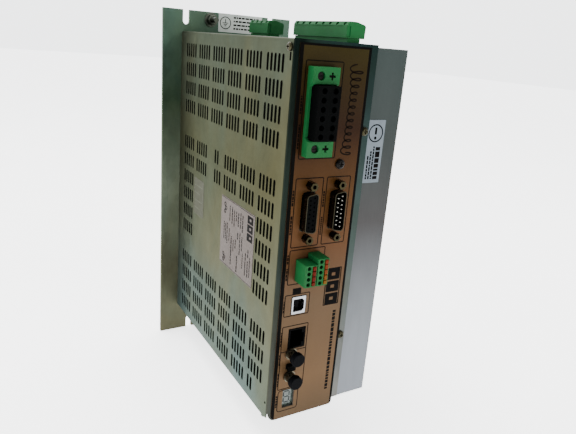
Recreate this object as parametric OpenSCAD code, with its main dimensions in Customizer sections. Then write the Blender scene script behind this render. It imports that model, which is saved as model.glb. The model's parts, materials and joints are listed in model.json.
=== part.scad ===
// Servo drive for panel mounting: sheet-metal enclosure on a finned heatsink,
// with pluggable connectors on its top and front.
// Frame: origin at the centre of the mounting plate's back face, +X right,
// -Y towards the front panel, +Z up. Millimetres.

/* [Mounting plate] */
// Width of the mounting plate
plate_w = 114; // [110:1:120]
// Height of the mounting plate
plate_h = 285; // [280:1:300]
// Thickness of the mounting plate
plate_t = 3; // [2.5:0.5:4]
// Distance between the left and right mounting slots at the top
slot_spacing = 76; // [60:1:80]
// Distance between the left and right mounting slots at the bottom
low_slot_spacing = 60; // [60:1:80]
// Width of an open mounting slot
slot_w = 5.6; // [4.5:0.1:6.5]
// Depth of an open mounting slot
slot_depth = 11.2; // [9:0.1:14]

/* [Enclosure] */
// Width from the left cover to the right edge of the front flange strip
body_w = 58; // [58:1:60]
// Height of the enclosure
body_h = 244; // [244:1:248]
// Depth from the mounting plate to the front label's face
body_d = 183; // [183:1:190]
// Left face of the enclosure, from the plate's middle
body_left = -41.5; // [-42:0.5:-41]
// Bottom of the enclosure, from the plate's middle
body_bottom = -118; // [-119:0.5:-117]
// Thickness of the cover sheets
cover_t = 1; // [0.8:0.1:1.2]
// Thickness of the front panel's sheet
panel_t = 1.5; // [1:0.1:2]
// Thickness of the front label
label_t = 0.4; // [0.2:0.1:0.5]
// Radius of the bottom left corner of the front
corner_r = 6; // [3:0.5:8]
// Radius of the bottom right corner of the front
right_corner_r = 3; // [1:0.5:5]

/* [Ventilation slots] */
// Width of a slot
vent_w = 2.7; // [2:0.1:3]
// Length of a slot
vent_l = 10.5; // [8:0.5:11]
// Distance between slots in a group
vent_pitch = 4.6; // [4.4:0.1:5]
// Distance between slot groups along the depth
group_pitch = 27.5; // [26:0.5:28]
// Distance between rows of slots
row_pitch = 14.45; // [13.5:0.05:14.5]

/* [Heatsink] */
// Reach of the fins to the right of the plate's middle
fin_reach = 40.7; // [38:0.1:50]
// Thickness of the heatsink's base
sink_base_t = 6.5; // [6:0.5:8]
// Number of fins
fin_count = 21; // [12:1:24]
// Thickness of a fin
fin_t = 2; // [1.5:0.1:3]

/* [Power plugs] */
// Contact pitch of the plugs on top
power_pitch = 7.62; // [7.5:0.01:7.62]
// Positions of the front plug on top
motor_ways = 8; // [6:1:8]
// Positions of the rear plug on top
supply_ways = 4; // [3:1:4]

/* [Signal plugs] */
// Contact pitch of the spring-clamp plugs
signal_pitch = 3.5; // [3.5:0.01:3.81]
// How far the spring-clamp plugs stand out of the panel
signal_reach = 12; // [10:0.5:14]
// Travel of a release lever
lever_travel = 1.2; // [0.8:0.1:1.5]

/* [D connectors] */
// Distance between the two jackscrews of a D connector
jack_spacing = 33.3; // [33.3:0.1:33.4]
// How far the D shells and jackscrews stand out of the panel
shell_reach = 5.4; // [5:0.1:7]

/* [Hidden] */
$fn = 48;

// enclosure planes
x_left = body_left;
x_right = body_left + body_w;
z_bottom = body_bottom;
z_top = body_bottom + body_h;
y_back = -plate_t;
y_front = -(plate_t + body_d);
y_sheet = y_front + label_t;
y_inner = y_sheet + panel_t;
panel_right = 9.9;
label_left = -38.8;
label_right = 9.6;
label_bottom = z_bottom + 0.4;
label_top = z_top - 1.8;

// flange strip and heatsink
strip_t = 1.5;
y_strip = y_inner + 1.1;
y_sink = y_strip + strip_t;
sink_x = x_right - sink_base_t;
sink_bottom = z_bottom + 1.8;
sink_top = z_top - 1.4;
front_fin_t = 3;

// seams of the covers
y_cover = y_front + 2.6;
flange_w = 8;
bend_r = 2;

// ventilation slots
group_ways = 5;
groups = 6;
first_group_y = y_front + 22;
first_row_z = 112.2;
full_rows = [0, 1, 2, 3, 12, 13, 14];

// connectors on the front panel: centres in X and Z
aux_x = -23.6;
aux_z = 87.1;
aux_w = 17.7;
aux_h = 50.4;
aux_flange_h = 9.1;
aux_flange_reach = 5.6;
aux_rim_reach = 2.7;
aux_plug_reach = 9.8;
aux_ways = 6;
aux_pitch = 5.08;
aux_plug_w = 14.6;
aux_plug_dx = 0.35;
aux_plug_h = 30.6;
dsub_z = 27.7;
feedback_x = -24.7;
interface_x = -4.7;
signal_w = 7.8;
signal_bottom = -16.7;
plug_a_x = -25.5;
plug_b_x = -17.1;
plug_a_ways = 4;
plug_b_ways = 5;
usb_x = -25;
usb_z = -34;
usb_w = 10;
usb_h = 12;
jack_x = -24;
jack_z = -57.9;
jack_w = 12.4;
jack_h = 14.4;
fibre_x = -27.5;
fibre_z = [-68.3, -85.2];
display_x = -26.5;
display_z = -102.8;
display_w = 8.1;
display_h = 13.4;
black_screw_x = -4.8;
black_screw_z = 56.3;
strip_screw_x = 12.8;
strip_screw_z = [75.3, -64.6];

// power plugs on top
power_x = 0.2;
power_w = 12.5;
header_w = 8.6;
header_x = -0.6;
header_rise = 2.4;
header_drop = 12;
plug_h = 9;
end_wall = 1.2;
motor_y0 = -181.6;
supply_y0 = -84;
tongue_w = 5.6;
tongue_h = 9;
pin_w = 1;

// boards
board_t = 1.6;
control_x = -34.6;
interface_board_x = -12.8;
power_x0 = 0;

// earth stud
earth_x = -17;
earth_z = 136.4;
stud_r = 2;
collar_r = 2.3;
stud_free = 7.4;
nut_h = 4.4;

// ---- places ----

// local x right, y up, z out of the front; z = 0 at the given plane
module on_front(x = 0, z = 0, y = y_front) {
  translate([x, y, z]) rotate([90, 0, 0]) children();
}

// local x towards the front, y up, z out of the left side
module on_side(y = 0, z = 0, x = x_left) {
  translate([x, y, z]) rotate([90, 0, -90]) children();
}

// an outline in Y and Z, given a thickness along X
module along_x(x, t) {
  translate([x, 0, 0]) rotate([90, 0, 90]) linear_extrude(t) children();
}

module slot2d(w, l) {
  square([w, l - w], center = true);
  for (s = [-1, 1]) translate([0, s * (l - w) / 2]) circle(d = w);
}

module rounded_box2d(w, h, r) {
  square([w - 2 * r, h], center = true);
  square([w, h - 2 * r], center = true);
  for (i = [-1, 1], j = [-1, 1])
    translate([i * (w / 2 - r), j * (h / 2 - r)]) circle(r);
}

// outline of a D connector standing on its end, its wide side to the right
module dsub2d(w, h, r = 2.2) {
  narrow = h / 2 - w * tan(10);
  hull() {
    for (s = [-1, 1]) {
      translate([w / 2 - r, s * (h / 2 - r)]) circle(r, $fn = 32);
      translate([-w / 2 + r, s * (narrow + w * tan(5) - r)]) circle(r, $fn = 32);
    }
  }
}

// ---- mounting plate and heatsink ----

cover_tab_x = -32;

plate_holes = [for (z = [-96, 0, 96]) [sink_x + 3.5, z], for (z = [-104, 110]) [cover_tab_x, z]];

// slot open at the plate's edge, which is at y = 0
module open_slot2d() {
  translate([0, slot_w / 2 - slot_depth]) {
    circle(d = slot_w);
    translate([-slot_w / 2, 0]) square([slot_w, slot_depth]);
  }
}

module mounting_plate() {
  color("slategray") on_front(0, 0, 0) difference() {
    linear_extrude(plate_t) difference() {
      square([plate_w, plate_h], center = true);
      for (s = [-1, 1]) {
        translate([s * slot_spacing / 2, plate_h / 2]) open_slot2d();
        translate([s * low_slot_spacing / 2, -plate_h / 2]) rotate(180) open_slot2d();
      }
      for (p = plate_holes) translate(p) circle(2.1);
      translate([earth_x, earth_z]) circle(collar_r);
    }
    for (p = plate_holes) translate([p[0], p[1], -0.01]) cylinder(r1 = 4.12, r2 = 2.1, h = 2.02);
  }
}

module plate_screws() {
  color("silver") for (p = plate_holes) on_front(p[0], p[1], 0) difference() {
    union() {
      cylinder(r1 = 4, r2 = 2, h = 2);
      cylinder(r = 2, h = 7);
    }
    translate([0, 0, -0.01]) cylinder(r = 1.3, h = 1.2, $fn = 6);
  }
}

module heatsink() {
  depth = y_back - y_sink;
  pitch = (depth - front_fin_t - 6) / (fin_count - 1);
  color("darkgray") difference() {
    translate([0, 0, sink_bottom]) linear_extrude(sink_top - sink_bottom) {
      translate([sink_x, y_sink]) square([sink_base_t, depth]);
      translate([x_right - 0.1, y_sink]) square([fin_reach - x_right + 0.1, front_fin_t]);
      for (i = [1:fin_count - 1]) translate([x_right - 0.1, y_sink + front_fin_t + i * pitch - fin_t]) {
        square([fin_reach - x_right + 0.1 - fin_t / 2, fin_t]);
        translate([fin_reach - x_right + 0.1 - fin_t / 2, fin_t / 2]) circle(d = fin_t);
      }
    }
    for (z = [-96, 0, 96]) on_front(sink_x + 3.5, z, 0) cylinder(r = 2.05, h = 12);
    for (z = strip_screw_z) on_front(strip_screw_x, z, y_sink + 8) cylinder(r = 1.5, h = 10);
  }
}

// ---- covers and front panel ----

function group_y(i) = first_group_y + i * group_pitch;
function row_z(k) = first_row_z - k * row_pitch;

// slots of one group, counted from the rear; first and last choose part of it
module vent_group(i, k, first = 0, last = group_ways - 1) {
  for (n = [first:last])
    translate([group_y(i) + ((group_ways - 1) / 2 - n) * vent_pitch, row_z(k)]) slot2d(vent_w, vent_l);
}

module vents() {
  for (k = full_rows, i = [0:groups - 1]) vent_group(i, k);
  for (k = [5, 6], i = [0, 1, 2, 4, 5]) vent_group(i, k);
  vent_group(3, 5, 2, 3);
  vent_group(3, 6, 2, 4);
  for (k = [7:10], i = [0, 5]) vent_group(i, k);
  for (i = [1:groups - 1]) vent_group(i, 15);
  vent_group(0, 15, 0, 1);
}

cover_screw_y = -180.5;
cover_screw_z = 121.4;
notch_z = 116.4;
pilot_z = -105.3;

// bent edge of a cover: outline in X and Z, the bend at the top left corner
module bent_edge2d() {
  difference() {
    translate([bend_r, -bend_r]) circle(bend_r);
    translate([bend_r, -bend_r]) circle(bend_r - cover_t);
    translate([bend_r, -2 * bend_r - 1]) square([2 * bend_r, 3 * bend_r]);
    translate([-1, -2 * bend_r - 1]) square([3 * bend_r, bend_r + 1]);
  }
  translate([bend_r - 0.01, -cover_t]) square([flange_w - bend_r, cover_t]);
}

module side_cover() {
  length = y_back - y_cover;
  color("darkkhaki") union() {
    along_x(x_left, cover_t) difference() {
      translate([y_cover, z_bottom + bend_r]) square([length, body_h - 2 * bend_r]);
      vents();
      translate([cover_screw_y - 0.6, notch_z]) square([1.8, 4.4], center = true);
      translate([cover_screw_y, cover_screw_z]) circle(1.1);
      translate([cover_screw_y - 1, pilot_z]) circle(0.9);
    }
    translate([x_left, y_back, z_top]) rotate([90, 0, 0]) linear_extrude(length) bent_edge2d();
    on_front(0, 0, y_back) linear_extrude(cover_t) difference() {
      translate([x_left + 0.5, z_bottom + flange_w]) square([16, body_h - 2 * flange_w]);
      for (z = [-104, 110]) translate([cover_tab_x, z]) circle(2.05);
    }
    translate([x_left, y_back, z_bottom]) rotate([90, 0, 0]) linear_extrude(length - corner_r)
      mirror([0, 1]) bent_edge2d();
    translate([x_left, y_cover, z_bottom + bend_r]) rotate([90, 0, 90]) linear_extrude(cover_t) difference() {
      translate([0, -bend_r]) square([corner_r + 0.01, bend_r + 0.01]);
      difference() {
        translate([-1, -bend_r - 1]) square([corner_r + 1, bend_r + 1]);
        translate([corner_r, corner_r - bend_r]) circle(corner_r);
      }
    }
  }
}

function header_len(ways) = ways * power_pitch - 1;

module header_cut(y0, ways) {
  translate([header_x - header_w / 2 - 0.3, y0 + 0.2]) square([header_w + 0.6, header_len(ways) + 0.6]);
}

module top_cover() {
  x0 = x_left + flange_w + 0.1;
  color("tan") translate([0, 0, z_top - cover_t]) linear_extrude(cover_t) difference() {
    translate([x0, y_inner]) square([x_right - x0, y_back - y_inner]);
    translate([panel_right - 0.1, y_inner - 1]) square([x_right, y_sink - y_inner + 1.1]);
    header_cut(motor_y0, motor_ways);
    header_cut(supply_y0, supply_ways);
    for (k = [0:8]) translate([-22, -150 + k * 14]) rotate(90) slot2d(vent_w, 14);
  }
}

module bottom_cover() {
  x0 = x_left + flange_w + 0.1;
  color("tan") translate([0, 0, z_bottom]) linear_extrude(cover_t) difference() {
    translate([x0, y_inner]) square([sink_x - x0, y_back - y_inner]);
    for (x = [-24, -9], k = [0:20]) translate([x, -165 + k * 7.4]) rotate(90) slot2d(vent_w, 12);
  }
}

// openings through the front panel, grown by c on every side
module front_openings(c) {
  translate([aux_x, aux_z]) square([aux_w - 1.2 + 2 * c, aux_h - 2 * aux_flange_h + 2 * c], center = true);
  for (x = [feedback_x, interface_x]) {
    translate([x, dsub_z]) dsub2d(8.9 + 2 * c, 25.8 + 2 * c);
    for (s = [-1, 1]) translate([x, dsub_z + s * jack_spacing / 2]) circle(1.6 + c);
  }
  for (p = [[plug_a_x, plug_a_ways], [plug_b_x, plug_b_ways]])
    translate([p[0] - signal_w / 2 - c, signal_bottom - c])
      square([signal_w + 2 * c, p[1] * signal_pitch + 0.2 + 2 * c]);
  translate([usb_x, usb_z]) square([usb_w + 0.4 + 2 * c, usb_h + 0.4 + 2 * c], center = true);
  translate([jack_x, jack_z]) square([jack_w + 0.2 + 2 * c, jack_h + 0.2 + 2 * c], center = true);
  for (z = fibre_z) translate([fibre_x, z]) circle(2.8 + c);
  translate([display_x, display_z]) square([display_w + 0.2 + 2 * c, display_h + 0.2 + 2 * c], center = true);
  translate([black_screw_x, black_screw_z]) circle(1.6 + c);
}

// rectangle with round bottom corners, of radius r on the left and q on the right
module front_outline(x0, x1, z0, z1, r, q) {
  difference() {
    translate([x0, z0]) square([x1 - x0, z1 - z0]);
    difference() {
      translate([x0 - 1, z0 - 1]) square(r + 1);
      translate([x0 + r, z0 + r]) circle(r);
    }
    difference() {
      translate([x1 - q, z0 - 1]) square(q + 1);
      translate([x1 - q, z0 + q]) circle(q);
    }
  }
}

module front_panel() {
  lip = y_cover - y_sheet - 0.2;
  r = 1.2;
  color("lightsteelblue") difference() {
    union() {
      on_front(0, 0, y_inner) linear_extrude(panel_t) difference() {
        front_outline(x_left + r, panel_right, z_bottom, z_top, corner_r - r, right_corner_r);
        front_openings(0);
      }
      translate([0, 0, z_bottom + corner_r]) linear_extrude(body_h - corner_r) {
        difference() {
          translate([x_left + r, y_sheet + r]) circle(r);
          translate([x_left + r, y_sheet - 1]) square(3 * r);
          translate([x_left - 1, y_sheet + lip]) square(2 * r);
        }
        translate([x_left, y_sheet + r]) square([panel_t, lip - r]);
        translate([x_left + r - 0.01, y_sheet + 0.3]) square([panel_t, panel_t - 0.3]);
      }
      translate([x_left + cover_t + 0.1, y_sheet + 0.5, z_bottom + 12])
        cube([panel_t, 14, body_h - 14.2]);
      translate([panel_right - panel_t, y_inner - 0.01, z_bottom + 4])
        cube([panel_t, y_strip - y_inner + 0.01, body_h - 6]);
    }
    on_side(cover_screw_y, cover_screw_z, x_left + 4) cylinder(r = 1.05, h = 6);
  }
}

module front_bracket() {
  x0 = panel_right - 7;
  color("lightsteelblue") difference() {
    on_front(0, 0, y_sink) linear_extrude(strip_t) difference() {
      union() {
        translate([x0, sink_bottom + 1]) square([x_right - x0, z_top - cover_t - sink_bottom - 1.2]);
        translate([panel_right, z_top - 5]) square([x_right - panel_right, 5]);
      }
      for (z = strip_screw_z) translate([strip_screw_x, z]) circle(1.6);
    }
  }
}

module front_label() {
  color("saddlebrown") on_front(0, 0, y_sheet) linear_extrude(label_t) difference() {
    front_outline(label_left, label_right, label_bottom, label_top, corner_r - 2, right_corner_r - 0.4);
    front_openings(0.2);
  }
}

// ---- inside ----

module board_yz(x, y0, y1, z0, z1, holes) {
  difference() {
    along_x(x, board_t) difference() {
      translate([y0, z0]) square([y1 - y0, z1 - z0]);
      for (p = holes) translate(p) circle(1.6);
    }
  }
}

link_holes = [[-130, 55], [-130, -26]];
stack_holes = [[-66, 108], [-66, -106]];
power_holes = [[-170, 100], [-12, 100], [-170, -108], [-12, -108]];

module control_board() {
  color("darkgreen") {
    board_yz(control_x, -176, -60, -112, 116, concat(link_holes, stack_holes));
    for (p = [[-150, -10, 24, 24], [-110, -40, 18, 18], [-112, 40, 14, 20], [-84, 76, 20, 9], [-90, -80, 24, 12]])
      translate([control_x - 1.6, p[0], p[1]]) cube([1.61, p[2], p[3]]);
  }
}

module interface_board() {
  color("darkgreen") board_yz(interface_board_x, -180, -124, -32, 60, link_holes);
}

module power_board() {
  color("darkgreen") board_yz(power_x0, -176, -8, -112, 111, concat(power_holes, stack_holes));
}

// hollow spacer along X
module spacer(x0, x1, p) {
  along_x(x0, x1 - x0) translate(p) difference() {
    circle(r = 3, $fn = 6);
    circle(r = 1.5);
  }
}

module board_standoffs() {
  color("silver") {
    for (p = link_holes) spacer(control_x + board_t, interface_board_x, p);
    for (p = stack_holes) spacer(control_x + board_t, power_x0, p);
    for (p = power_holes) spacer(power_x0 + board_t, sink_x, p);
  }
}

module bus_capacitors() {
  color("midnightblue") for (y = [-42, -16.5], z = [-92, -62, -32])
    translate([power_x0 - 30, y, z]) rotate([0, 90, 0]) {
      cylinder(d = 24, h = 29.99);
      translate([0, 0, -0.6]) cylinder(d = 21, h = 0.61);
    }
}

module power_module() {
  color("dimgray") difference() {
    translate([power_x0 + board_t, -130, -40]) cube([sink_x - power_x0 - board_t, 62, 80]);
    for (y = [-124, -74], z = [-34, 34]) translate([power_x0 + board_t - 1, y, z]) rotate([0, 90, 0])
      cylinder(r = 2.2, h = 12);
  }
}

module transformer() {
  color("goldenrod") {
    translate([power_x0 - 22, -56, 38]) cube([22, 34, 8]);
    translate([power_x0 - 22, -56, 64]) cube([22, 34, 8]);
    translate([power_x0 - 20, -52, 45.99]) cube([18, 26, 18.02]);
  }
}

// ---- power connectors on top ----

module header_body(y0, ways) {
  len = header_len(ways);
  z0 = z_top - header_drop;
  h = header_drop + header_rise;
  difference() {
    translate([header_x - header_w / 2, y0 + 0.5, z0]) cube([header_w, len, h]);
    translate([header_x - tongue_w / 2 - 0.3, y0 + 0.5 + end_wall, z0 + 3])
      cube([tongue_w + 0.6, len - 2 * end_wall, h]);
    for (i = [0:ways - 1]) translate([header_x, y0 + (i + 0.5) * power_pitch, z0 + 1.4])
      cube([pin_w + 0.02, pin_w + 0.02, 6], center = true);
  }
}

module motor_header() {
  color("seagreen") header_body(motor_y0, motor_ways);
}

module supply_header() {
  color("seagreen") header_body(supply_y0, supply_ways);
}

module power_pins() {
  z0 = z_top - header_drop;
  color("gainsboro") for (p = [[motor_y0, motor_ways], [supply_y0, supply_ways]], i = [0:p[1] - 1])
    translate([header_x - pin_w / 2, p[0] + (i + 0.5) * power_pitch - pin_w / 2, z0 - 2])
      cube([pin_w, pin_w, 10]);
}

// Outline in X and Z of a power plug, its lower left corner at the origin
module plug2d() {
  polygon([[0, 0], [power_w, 0], [power_w + 0.4, 6.8], [power_w - 0.6, plug_h - 1.3],
    [power_w - 6, plug_h], [1.4, plug_h], [0, plug_h - 2]]);
}

module power_plug(y0, ways) {
  len = ways * power_pitch;
  x0 = power_x - power_w / 2;
  z0 = z_top + header_rise + 0.1;
  difference() {
    union() {
      translate([x0, y0 + len, z0]) rotate([90, 0, 0]) linear_extrude(len) plug2d();
      translate([header_x - tongue_w / 2, y0 + 0.8 + end_wall, z0 - tongue_h])
        cube([tongue_w, header_len(ways) - 2 * end_wall - 0.6, tongue_h + 0.01]);
    }
    for (i = [0:ways - 1]) translate([0, y0 + (i + 0.5) * power_pitch, 0]) {
      translate([x0 + 7.4, 0, z0 + 1.5]) cylinder(d = 3.6, h = 12);
      translate([x0 + 4, 0, z0 + plug_h - 4.4]) rotate([0, -45, 0]) cylinder(d = 2.4, h = 8);
      translate([header_x, 0, z0 - tongue_h + 4.9]) cube([1.6, 1.6, 10], center = true);
    }
    translate([x0 - 1, y0 + 5, z0 + 5.9]) cube([1.3, len - 8, 0.5]);
    translate([x0 - 0.01, y0 - 0.01, z0 + 0.6]) cube([2.4, 0.6, 6]);
  }
}

module motor_plug() {
  color("mediumseagreen") power_plug(motor_y0, motor_ways);
}

module supply_plug() {
  color("mediumseagreen") power_plug(supply_y0, supply_ways);
}

// ---- auxiliary connector at the top of the front panel ----

aux_screw_dz = (aux_h - aux_flange_h) / 2 - 0.35;
aux_screw_x = -27;
aux_screw_depth = 2.2;

module aux_header() {
  top = aux_h / 2;
  inner = top - aux_flange_h;
  slope = 2;
  profile = [[0, -top], [aux_flange_reach, -top], [aux_flange_reach, -inner], [aux_rim_reach, -inner + slope],
    [aux_rim_reach, inner - slope], [aux_flange_reach, inner], [aux_flange_reach, top], [0, top]];
  color("seagreen") difference() {
    union() {
      translate([aux_x - aux_w / 2, y_front, aux_z]) rotate([90, 0, 90]) linear_extrude(aux_w)
        mirror([1, 0]) polygon(profile);
      on_front(aux_x, aux_z, y_front + 16) translate([-aux_w / 2 + 0.7, -inner + 0.1, 0])
        cube([aux_w - 1.4, 2 * inner - 0.2, 16.01]);
    }
    on_front(aux_x, aux_z, y_front + 14) translate([aux_plug_dx - aux_plug_w / 2 - 0.25, -aux_plug_h / 2 - 0.3, 0])
      cube([aux_plug_w + 0.5, aux_plug_h + 0.6, 30]);
    for (s = [-1, 1]) on_front(0, aux_z + s * aux_screw_dz) {
      translate([aux_screw_x, 0, aux_flange_reach - aux_screw_depth]) cylinder(r = 2.5, h = 4);
      translate([aux_screw_x, 0, -1]) cylinder(r = 1.35, h = 10);
      for (a = [0, 90]) translate([aux_screw_x + 7.2, 0, aux_flange_reach]) rotate(a)
        cube([4.2, 1.3, 5], center = true);
    }
  }
}

module aux_screws() {
  color("dimgray") for (s = [-1, 1]) on_front(aux_screw_x, aux_z + s * aux_screw_dz) difference() {
    union() {
      cylinder(r = 1.3, h = aux_flange_reach - aux_screw_depth + 0.1);
      translate([0, 0, aux_flange_reach - aux_screw_depth]) cylinder(r = 2, h = 1.2);
    }
    translate([0, 0, aux_flange_reach - aux_screw_depth + 1.2]) cube([5, 0.7, 1.2], center = true);
  }
}

module aux_plug() {
  color("black") on_front(aux_x + aux_plug_dx, aux_z, y_front + 12) difference() {
    translate([-aux_plug_w / 2, -aux_plug_h / 2, 0]) cube([aux_plug_w, aux_plug_h, 12 + aux_plug_reach]);
    for (i = [0:aux_ways - 1]) translate([0, (i - (aux_ways - 1) / 2) * aux_pitch, 12 + aux_plug_reach]) {
      translate([-3.4, 0, -8]) cylinder(d = 3.2, h = 9);
      translate([3.9, 0, -2.5]) cylinder(d = 3.4, h = 3);
    }
  }
}

// ---- D connectors ----

module dsub_shell(x, w, h) {
  depth = 9;
  wall = 0.45;
  color("lightgray") on_front(x, dsub_z, y_inner + 1) difference() {
    union() {
      linear_extrude(0.99) rounded_box2d(12.5, 39.2, 1.2);
      linear_extrude(y_inner + 1 - y_front + shell_reach) dsub2d(w, h);
      translate([0, 0, -depth]) linear_extrude(depth + 0.1) dsub2d(w, h);
    }
    translate([0, 0, -depth - 1]) linear_extrude(60) dsub2d(w - 2 * wall, h - 2 * wall, 1.8);
    for (s = [-1, 1]) translate([0, s * jack_spacing / 2, -1]) cylinder(r = 1.55, h = 4);
  }
}

// places of the 15 contacts: eight on the wide side, seven on the narrow one
module dsub_contacts() {
  for (i = [0:7]) translate([1.42, (i - 3.5) * 2.77]) children();
  for (i = [0:6]) translate([-1.42, (i - 3) * 2.77]) children();
}

module feedback_shell() {
  dsub_shell(feedback_x, 7.9, 24.7);
}

module feedback_insulator() {
  depth = shell_reach + y_inner - y_front + 10;
  color("black") on_front(feedback_x, dsub_z, y_front - shell_reach + depth + 0.3) difference() {
    linear_extrude(depth) dsub2d(6.9, 23.7, 1.7);
    dsub_contacts() translate([0, 0, depth - 5]) cylinder(d = 1.1, h = 6);
  }
}

module interface_shell() {
  dsub_shell(interface_x, 8.4, 25.3);
}

male_floor = 1;

module interface_insulator() {
  depth = 10;
  color("black") on_front(interface_x, dsub_z, y_front - male_floor + depth) difference() {
    linear_extrude(depth) dsub2d(7.4, 24.3, 1.7);
    dsub_contacts() translate([0, 0, -1]) cylinder(r = 0.51, h = depth + 2);
  }
}

module interface_pins() {
  color("gold") on_front(interface_x, dsub_z, y_front + 10) dsub_contacts() {
    cylinder(r = 0.5, h = 10 + male_floor + 3.8);
    translate([0, 0, 10 + male_floor + 3.8]) cylinder(r1 = 0.5, r2 = 0.2, h = 0.4);
  }
}

module jackscrews() {
  color("goldenrod") for (x = [feedback_x, interface_x], s = [-1, 1])
    on_front(x, dsub_z + s * jack_spacing / 2, y_front) difference() {
      union() {
        cylinder(d = 4.8 / cos(30), h = shell_reach + 0.4, $fn = 6);
        translate([0, 0, -5]) cylinder(r = 1.45, h = 5.01);
      }
      translate([0, 0, shell_reach + 0.4 - 5]) cylinder(r = 1.2, h = 6);
    }
}

// ---- spring-clamp signal connectors ----

tongue_gap = 0.35;
signal_shroud = 9;

module signal_header(x, ways) {
  h = ways * signal_pitch;
  color("seagreen") translate([x - signal_w / 2 + 0.1, y_front + 0.2, signal_bottom + 0.1]) difference() {
    cube([signal_w - 0.2, signal_shroud + 2, h]);
    translate([0.9, -1, 0.9]) cube([signal_w - 2, signal_shroud + 1, h - 1.8]);
    for (i = [0:ways - 1]) translate([signal_w / 2 - 0.1, signal_shroud + 1, (i + 0.5) * signal_pitch])
      cube([0.82, 4, 0.82], center = true);
  }
}

module signal_pins() {
  color("gainsboro") for (p = [[plug_a_x, plug_a_ways], [plug_b_x, plug_b_ways]], i = [0:p[1] - 1])
    translate([p[0] - 0.4, y_front + 3.6, signal_bottom + 0.1 + (i + 0.5) * signal_pitch - 0.4])
      cube([0.8, 11, 0.8]);
}

lever_x = 2.05;
lever_w = 2.1;
lever_h = signal_pitch - 0.5;
lever_depth = 7;

module signal_plug(x, ways) {
  h = ways * signal_pitch + 0.2;
  color("mediumseagreen") difference() {
    union() {
      translate([x - signal_w / 2, y_front - signal_reach, signal_bottom]) cube([signal_w, signal_reach - 0.15, h]);
      translate([x - signal_w / 2 + 1 + tongue_gap, y_front - 0.2, signal_bottom + 1 + tongue_gap])
        cube([signal_w - 2 - 2 * tongue_gap, 6.5, h - 2 - 2 * tongue_gap]);
    }
    for (i = [0:ways - 1]) translate([x, y_front - signal_reach, signal_bottom + 0.1 + (i + 0.5) * signal_pitch]) {
      translate([-1.5, 8, 0]) rotate([90, 0, 0]) cylinder(d = 2.6, h = 10);
      translate([0, 15, 0]) cube([1.4, 12, 1.4], center = true);
    }
    translate([x + lever_x - lever_w / 2 - 0.25, y_front - signal_reach - 1, signal_bottom + 0.7])
      cube([lever_w + 0.5, lever_depth + 2, h - 1.4]);
  }
}

module lever(x, i, ways) {
  shorten = i == 0 || i == ways - 1 ? 0.5 : 0;
  shift = i == 0 ? 0.5 : 0;
  color("orangered") translate([x + lever_x - lever_w / 2, y_front - signal_reach - 0.7,
      signal_bottom + 0.1 + (i + 0.5) * signal_pitch - lever_h / 2 + shift])
    cube([lever_w, lever_depth + 0.2 - lever_travel, lever_h - shorten]);
}

module signal_header_a() { signal_header(plug_a_x, plug_a_ways); }
module signal_header_b() { signal_header(plug_b_x, plug_b_ways); }
module signal_plug_a() { signal_plug(plug_a_x, plug_a_ways); }
module signal_plug_b() { signal_plug(plug_b_x, plug_b_ways); }

// ---- USB, network, fibre ports and display ----

module usb2d(w, h, c) {
  polygon([[-w / 2, -h / 2], [w / 2 - c, -h / 2], [w / 2, -h / 2 + c], [w / 2, h / 2 - c],
    [w / 2 - c, h / 2], [-w / 2, h / 2]]);
}

module usb_shell() {
  depth = 16;
  color("gainsboro") on_front(usb_x, usb_z, y_front + depth - 0.5) difference() {
    linear_extrude(depth) rounded_box2d(usb_w, usb_h, 0.6);
    translate([0, 0, 1]) linear_extrude(depth) usb2d(7.8, 8.5, 1.6);
  }
}

module usb_tongue() {
  color("black") on_front(usb_x - 0.3, usb_z, y_front + 14.5) translate([-1.6, -2.8, 0]) cube([3.2, 5.6, 12.6]);
}

module network_jack() {
  depth = 18;
  color("black") on_front(jack_x, jack_z, y_front + depth - 0.2) difference() {
    translate([-jack_w / 2, -jack_h / 2, 0]) cube([jack_w, jack_h, depth]);
    translate([-4.9, -5.95, 4]) cube([8.4, 11.9, depth]);
    translate([3.4, -3.3, 4]) cube([1.7, 6.6, depth]);
    for (i = [0:7]) translate([-5.5, (i - 3.5) * 1.02 - 0.3, 5]) cube([1, 0.6, depth - 6]);
  }
}

module network_contacts() {
  color("gold") for (i = [0:7]) on_front(jack_x - 4.9, jack_z + (i - 3.5) * 1.02, y_front + 13.7)
    rotate([0, 15, 0]) translate([0, -0.18, 0]) cube([0.35, 0.36, 9]);
}

fibre_lug_angle = 115;

module fibre_port(z) {
  color("silver") on_front(fibre_x, z, y_front + 12) difference() {
    union() {
      cylinder(r = 2.6, h = 13);
      translate([0, 0, 12.3]) cylinder(r = 4.1, h = 1.1);
      translate([0, 0, 13]) cylinder(r = 3.5, h = 8.2);
      rotate(fibre_lug_angle) translate([2.8, -1.2, 15.4]) cube([2.2, 2.4, 1.1]);
    }
    translate([0, 0, 8]) cylinder(r = 1.3, h = 20);
  }
}

module fibre_port_a() { fibre_port(fibre_z[0]); }
module fibre_port_b() { fibre_port(fibre_z[1]); }

module dust_cap(z) {
  color("black") on_front(fibre_x, z, y_front - 6.8) difference() {
    union() {
      cylinder(r = 4.6, h = 3.4);
      translate([0, 0, 3.4]) cylinder(r1 = 4.6, r2 = 4.2, h = 0.4);
    }
    translate([0, 0, -1]) cylinder(r = 3.8, h = 3.7);
  }
}

module dust_cap_a() { dust_cap(fibre_z[0]); }
module dust_cap_b() { dust_cap(fibre_z[1]); }

module segment_display() {
  color("slategray") on_front(display_x, display_z, y_front + 8) difference() {
    translate([-display_w / 2, -display_h / 2, 0]) cube([display_w, display_h, 6.4]);
    translate([-display_w / 2 + 0.6, -display_h / 2 + 0.6, 6.1]) cube([display_w - 1.2, display_h - 1.2, 1]);
  }
}

// ---- screws and earth stud ----

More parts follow.
